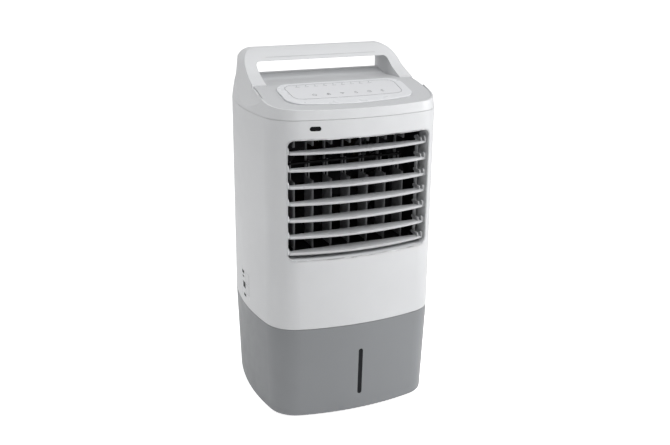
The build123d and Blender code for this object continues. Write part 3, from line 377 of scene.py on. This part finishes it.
def arc(centre, radius, width, start=0.0, end=360.0, pieces=28):
    """Quads along a ring or part of one, with angles in degrees."""
    quads = []
    for step in range(pieces):
        corners = []
        for turn, reach in ((step, -1), (step + 1, -1), (step + 1, 1), (step, 1)):
            angle = math.radians(start + (end - start) * turn / pieces)
            far = radius + reach * width / 2
            corners.append((centre[0] + far * math.cos(angle), centre[1] + far * math.sin(angle)))
        quads.append(corners)
    return quads


def disc(centre, radius, sides=16):
    """One many-sided face, in a list as stroke and arc give."""
    turns = [2 * math.pi * side / sides for side in range(sides)]
    return [[(centre[0] + radius * math.cos(turn), centre[1] + radius * math.sin(turn))
             for turn in turns]]


def edge_line(name, node, facing, width, look, nearly=0.95, depth=30 * MM):
    """Fine line just inside the edges of the faces of a node that nearly face a direction.

    depth is how far behind the foremost point of the node a line may start. An edge counts
    where the face beyond it turns away.
    """
    turned = 0.6
    facing = Vector(facing).normalized()
    mesh = bmesh.new()
    mesh.from_mesh(NODES[node].data)
    bmesh.ops.remove_doubles(mesh, verts=mesh.verts, dist=WELD)
    mesh.normal_update()
    line = bmesh.new()
    foremost = max(vert.co.dot(facing) for vert in mesh.verts)
    for edge in mesh.edges:
        if len(edge.link_faces) != 2 or edge.verts[0].co.dot(facing) < foremost - depth:
            continue
        for face, other in (tuple(edge.link_faces), tuple(reversed(edge.link_faces))):
            if face.normal.dot(facing) <= nearly or other.normal.dot(facing) >= turned:
                continue
            first, second = (vert.co for vert in edge.verts)
            along = (second - first).normalized()
            inward = face.calc_center_median() - first
            inward = (inward - along * inward.dot(along)).normalized() * width
            lift = face.normal * RAISED
            corners = (first, second, second + inward, first + inward)
            line.faces.new([line.verts.new(corner + lift) for corner in corners])
    mesh.free()
    thicken(line, -facing * (RAISED + SUNK))
    return piece(name, finished(line, name), node, look, smooth=False)


# ==== control panel ================================================================================
KEY_SPOTS = [(-65 + 27 * number) * MM for number in range(6)]
KEY_ROW = -71.5 * MM
SIGN = 3.6 * MM        # radius of a key's sign
SIGN_LINE = 0.9 * MM   # width of the lines of the signs and dashes
LAMP_SPOTS = [(-84 + 18 * number) * MM for number in range(9)]
LAMP_ROW = -30 * MM
LAMP_RADIUS = 1.1 * MM
DASH = 4 * MM          # half the length of the dash under a lamp
DASH_GAP = 5 * MM      # from the lamps down to the dashes
DOWN = (0, 0, -1)


def above(u, v):
    return Vector((u, v, 1.0))


def key_icons():
    """Generic signs: a power ring, blades, a swing arrow, a drop, a clock and a crescent."""
    power, blades, swing, drop, clock, crescent = KEY_SPOTS
    y = KEY_ROW
    foot = y - SIGN
    shapes = arc((power, y), SIGN, SIGN_LINE, 120, 420)
    shapes += stroke((power, y + 0.3 * SIGN), (power, y + 1.35 * SIGN), SIGN_LINE)
    for blade in range(3):
        angle = math.radians(90 + 120 * blade)
        hub = (blades + 0.6 * SIGN * math.cos(angle), y + 0.6 * SIGN * math.sin(angle))
        shapes += arc(hub, 0.45 * SIGN, SIGN_LINE, pieces=14)
    shapes += arc((swing, foot), 1.5 * SIGN, SIGN_LINE, 40, 140, 12)
    for side in (-1, 1):
        shapes += stroke((swing, foot), (swing + side * 0.8 * SIGN, y + 0.8 * SIGN), SIGN_LINE)
    shapes += arc((drop, y - 0.3 * SIGN), 0.7 * SIGN, SIGN_LINE, 150, 390, 16)
    for side in (-1, 1):
        start = (drop + side * 0.6 * SIGN, y + 0.05 * SIGN)
        shapes += stroke(start, (drop, y + 1.2 * SIGN), SIGN_LINE)
    shapes += arc((clock, y), SIGN, SIGN_LINE)
    shapes += stroke((clock, y), (clock, y + 0.7 * SIGN), SIGN_LINE)
    shapes += stroke((clock, y), (clock + 0.5 * SIGN, y), SIGN_LINE)
    shapes += arc((crescent, y), SIGN, SIGN_LINE, 60, 300, 20)
    shapes += arc((crescent + 0.7 * SIGN, y), 1.1 * SIGN, SIGN_LINE, 115, 245, 12)
    inlay("key_icons", "key_membrane", shapes, above, DOWN, INK)


def lamp_marks():
    """Row of small lamp windows with a plain dash under each."""
    dots = []
    dashes = []
    under = LAMP_ROW - DASH_GAP
    for x in LAMP_SPOTS:
        dots += disc((x, LAMP_ROW), LAMP_RADIUS)
        dashes += stroke((x - DASH, under), (x + DASH, under), SIGN_LINE)
    inlay("lamp_windows", "key_membrane", dots, above, DOWN, LAMP)
    inlay("lamp_dashes", "key_membrane", dashes, above, DOWN, INK)


key_icons()
lamp_marks()
edge_line("membrane_edge", "key_membrane", (0, -0.23, 0.97), 0.8 * MM, INK)


# ==== small surface details ========================================================================
LABEL_SIDES = (-12, 36)                   # y of the label's edges, in mm
LABEL_STRIPS = range(202, 262, 5)         # z of the foot of each strip it is made of
LABEL_STRIP = 5
# y and z of each bar's middle, its width and its height
LABEL_BARS = ((28, 252, 14, 6), (27, 243, 11, 3), (21, 227, 15, 12), (17, 207, 14, 5))
FRAME_SIDES = (-8, 10)
FRAMES = ((214, 232), (237, 256))         # z of the foot and top of each hairline frame
HAIRLINE = 0.5 * MM
SHEET_RAISED = 0.1 * MM
PRINT_RAISED = 0.16 * MM                  # the print stands on the sheet

SEAM_ENDS = (-112 * MM, 114 * MM)
SEAM_HEIGHT = 661 * MM
SEAM = 0.45 * MM

SCREW_IN = 4 * MM                         # from either end of the screws' box to a screw's middle
CROSS = (2.2 * MM, 1.7 * MM)              # half lengths of a cross's two arms, as seen from above
CROSS_LINE = 0.8 * MM


def from_left(u, v):
    return Vector((-1.0, u, v))


def from_front(u, v):
    return Vector((u, -1.0, v))


def side_label():
    """Plain label low on the left side: a thin sheet, dark bars and two hairline frames."""
    left, right = LABEL_SIDES
    sheet = []
    for low in LABEL_STRIPS:
        corners = ((left, low), (right, low), (right, low + LABEL_STRIP), (left, low + LABEL_STRIP))
        sheet.append([(y * MM, z * MM) for y, z in corners])
    bars = []
    for y, z, width, height in LABEL_BARS:
        bars += stroke(((y - width / 2) * MM, z * MM), ((y + width / 2) * MM, z * MM), height * MM)
    lines = []
    left, right = FRAME_SIDES
    for low, high in FRAMES:
        for y in FRAME_SIDES:
            lines += stroke((y * MM, low * MM), (y * MM, high * MM), HAIRLINE, 3)
        for z in (low, high):
            lines += stroke((left * MM, z * MM), (right * MM, z * MM), HAIRLINE)
    inlay("label_sheet", "body_shell", sheet, from_left, (1, 0, 0), LABEL, SHEET_RAISED)
    inlay("label_bars", "body_shell", bars, from_left, (1, 0, 0), DARK_PRINT_AND_SHADE, PRINT_RAISED)
    inlay("label_frames", "body_shell", lines, from_left, (1, 0, 0), FAINT, PRINT_RAISED)


def handle_seam():
    """Moulding seam along the front of the handle's bar."""
    left, right = SEAM_ENDS
    seam = stroke((left, SEAM_HEIGHT), (right, SEAM_HEIGHT), SEAM, 24)
    inlay("handle_seam", "top_cover", seam, from_front, (0, 1, 0), FAINT)


def screw_crosses():
    """Cross recess in each of the two screws behind the handle, drawn as flat dark crosses: painted
    shade where the recess is.
    """
    low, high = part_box("cover_screws")
    row = (low.y + high.y) / 2
    across, along = CROSS
    shapes = []
    for x in (low.x + SCREW_IN, high.x - SCREW_IN):
        shapes += stroke((x - across, row), (x + across, row), CROSS_LINE)
        shapes += stroke((x, row - along), (x, row + along), CROSS_LINE)
    inlay("screw_crosses", "cover_screws", shapes, above, DOWN, DARK_PRINT_AND_SHADE)


# Painted highlight: a near-white strip just inside the outlet frame's front edge stands for light on
# its rounded lip.
edge_line("outlet_painted_highlight", "outlet_frame", (0, -1, 0), 1.6 * MM, PAINTED_RIM_HIGHLIGHT, nearly=0.8, depth=16 * MM)
side_label()
handle_seam()
screw_crosses()


# ==== cooling pad ==================================================================================
PAD_COLUMNS = 84
PAD_ROWS = 128
FLUTE_DEPTH = 5 * MM
FLUTE_PITCH = 14 * MM
FLUTE_SLOPE = 0.8      # how far a flute moves sideways as it climbs


def flute_depth(x, z):
    """How deep the open face is cut where two crossed sets of flutes meet it."""
    rising = abs(math.sin(math.pi * (x + FLUTE_SLOPE * z) / FLUTE_PITCH))
    falling = abs(math.sin(math.pi * (x - FLUTE_SLOPE * z) / FLUTE_PITCH))
    return FLUTE_DEPTH * min(rising, falling)


def border(grid):
    """The vertices round the edge of a grid, in order."""
    return (grid[0] + [line[-1] for line in grid[1:]]
            + grid[-1][-2::-1] + [line[0] for line in grid[-2:0:-1]])


def fluted_pad():
    """Cellulose block whose two open faces show crossed flutes."""
    low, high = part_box("cooling_pad")
    mesh = bmesh.new()
    borders = []
    for face, sign in ((low.y, 1), (high.y, -1)):
        grid = []
        for row in range(PAD_ROWS + 1):
            z = low.z + (high.z - low.z) * row / PAD_ROWS
            line = []
            for column in range(PAD_COLUMNS + 1):
                x = low.x + (high.x - low.x) * column / PAD_COLUMNS
                inside = 0 < row < PAD_ROWS and 0 < column < PAD_COLUMNS
                sink = flute_depth(x, z) if inside else 0
                line.append(mesh.verts.new((x, face + sign * sink, z)))
            grid.append(line)
        for first, second in zip(grid, grid[1:]):
            for left in range(PAD_COLUMNS):
                corners = (first[left], first[left + 1], second[left + 1], second[left])
                mesh.faces.new(corners[::sign])
        borders.append(border(grid))
    front, back = borders
    for index, corner in enumerate(front):
        following = (index + 1) % len(front)
        mesh.faces.new((corner, back[index], back[following], front[following]))
    pad = piece("fluted_pad", finished(mesh, "fluted_pad"), "cooling_pad")
    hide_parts("cooling_pad")


fluted_pad()


# ==== camera, light and floor ======================================================================
EYE = (-0.687, -1.619, 0.922)
YAW = 23.23                     # degrees to the right of straight back
PITCH = 18.31                   # degrees down
ROLL = 0.60
LENS = 50.56
FILM = 36

MIDDLE = Vector((0, 0, 0.35))   # what the lamps are turned to
FLOOR_LIGHT = 0.2               # what the floor gives to the light on the object
FLOOR_SEEN = 0.9                # how bright the floor looks in itself
WORLD_LIGHT = 0.12              # the same for the world
WORLD_SEEN = 1.0

SWEEP_HALF_WIDTH = 9.0
SWEEP_NEAR = -5.0
SWEEP_FAR = 3.2                 # where the floor starts to curve up
SWEEP_BEND = 1.4
SWEEP_TOP = 5.0
SWEEP_STEPS = 16


def camera():
    """The view of the reference: from the front left and above."""
    yaw = math.radians(YAW)
    pitch = math.radians(PITCH)
    roll = math.radians(ROLL)
    level = Vector((math.cos(yaw), -math.sin(yaw), 0))
    forward = Vector((math.sin(yaw) * math.cos(pitch), math.cos(yaw) * math.cos(pitch),
                      -math.sin(pitch)))
    raised = level.cross(forward)
    right = math.cos(roll) * level + math.sin(roll) * raised
    up = math.cos(roll) * raised - math.sin(roll) * level
    data = bpy.data.cameras.new("camera")
    data.sensor_width = FILM
    data.lens = LENS
    data.clip_end = 50
    eye = bpy.data.objects.new("camera", data)
    bpy.context.scene.collection.objects.link(eye)
    turn = Matrix((right, up, -forward)).transposed().to_4x4()
    eye.matrix_world = Matrix.Translation(EYE) @ turn
    bpy.context.scene.camera = eye


def softbox(name, place, size, power):
    """Rectangular area light turned to the middle of the object."""
    data = bpy.data.lights.new(name, "AREA")
    data.shape = "RECTANGLE"
    data.size, data.size_y = size
    data.energy = power
    lamp = bpy.data.objects.new(name, data)
    bpy.context.scene.collection.objects.link(lamp)
    lamp.location = place
    lamp.rotation_euler = (MIDDLE - Vector(place)).to_track_quat("-Z", "Y").to_euler()


def sweep_paper():
    """White paper that looks brighter than the light it gives to the object."""
    paper = Shader("paper sweep")
    cloud = paper.span(paper.noise(3), 0, 1)
    paper.colour(paper.mix(cloud, (0.93, 0.93, 0.93), (0.95, 0.95, 0.95)))
    paper.bump(paper.noise(300), 0.05 * MM)
    seen = paper.node("ShaderNodeLightPath").outputs["Is Camera Ray"]
    glow = paper.span(seen, FLOOR_LIGHT, FLOOR_SEEN, 0, 1)
    paper.link(glow, paper.shader.inputs["Emission Strength"])
    return paper.set(Roughness=0.9, Specular_IOR_Level=0.1, Emission_Color=(1, 1, 1, 1))


def sweep():
    """Floor that curves up into a back wall."""
    profile = [(SWEEP_NEAR, 0.0), (SWEEP_FAR, 0.0)]
    for step in range(1, SWEEP_STEPS + 1):
        angle = math.pi / 2 * step / SWEEP_STEPS
        y = SWEEP_FAR + SWEEP_BEND * math.sin(angle)
        profile.append((y, SWEEP_BEND * (1 - math.cos(angle))))
    profile.append((SWEEP_FAR + SWEEP_BEND, SWEEP_TOP))
    mesh = bmesh.new()
    sides = (-SWEEP_HALF_WIDTH, SWEEP_HALF_WIDTH)
    rows = [[mesh.verts.new((x, y, z)) for x in sides] for y, z in profile]
    for first, second in zip(rows, rows[1:]):
        mesh.faces.new((first[0], first[1], second[1], second[0]))
    data = bpy.data.meshes.new("sweep")
    mesh.to_mesh(data)
    mesh.free()
    for face in data.polygons:
        face.use_smooth = True
    data.materials.append(sweep_paper())
    floor = bpy.data.objects.new("sweep", data)
    bpy.context.scene.collection.objects.link(floor)


def white_world():
    """White world that looks brighter than the light it gives to the object."""
    world = bpy.data.worlds.new("studio")
    bpy.context.scene.world = world
    world.use_nodes = True
    tree = world.node_tree
    background = tree.nodes["Background"]
    background.inputs["Color"].default_value = (1, 1, 1, 1)
    path = tree.nodes.new("ShaderNodeLightPath")
    level = tree.nodes.new("ShaderNodeMapRange")
    level.inputs["To Min"].default_value = WORLD_LIGHT
    level.inputs["To Max"].default_value = WORLD_SEEN
    tree.links.new(path.outputs["Is Camera Ray"], level.inputs["Value"])
    tree.links.new(level.outputs["Result"], background.inputs["Strength"])


def studio():
    """White sweep and world, a key light from the right, a fill from the left rear, a top light."""
    sweep()
    white_world()
    softbox("key", (2.9, -1.1, 1.4), (1.2, 2.0), 53)
    softbox("left_fill", (-1.5, 0.9, 1.5), (1.0, 1.6), 15)
    softbox("top", (0.2, -1.0, 1.8), (1.4, 1.4), 23.5)
    bpy.context.scene.view_settings.view_transform = "Standard"
    bpy.context.scene.view_settings.look = "None"


camera()
studio()
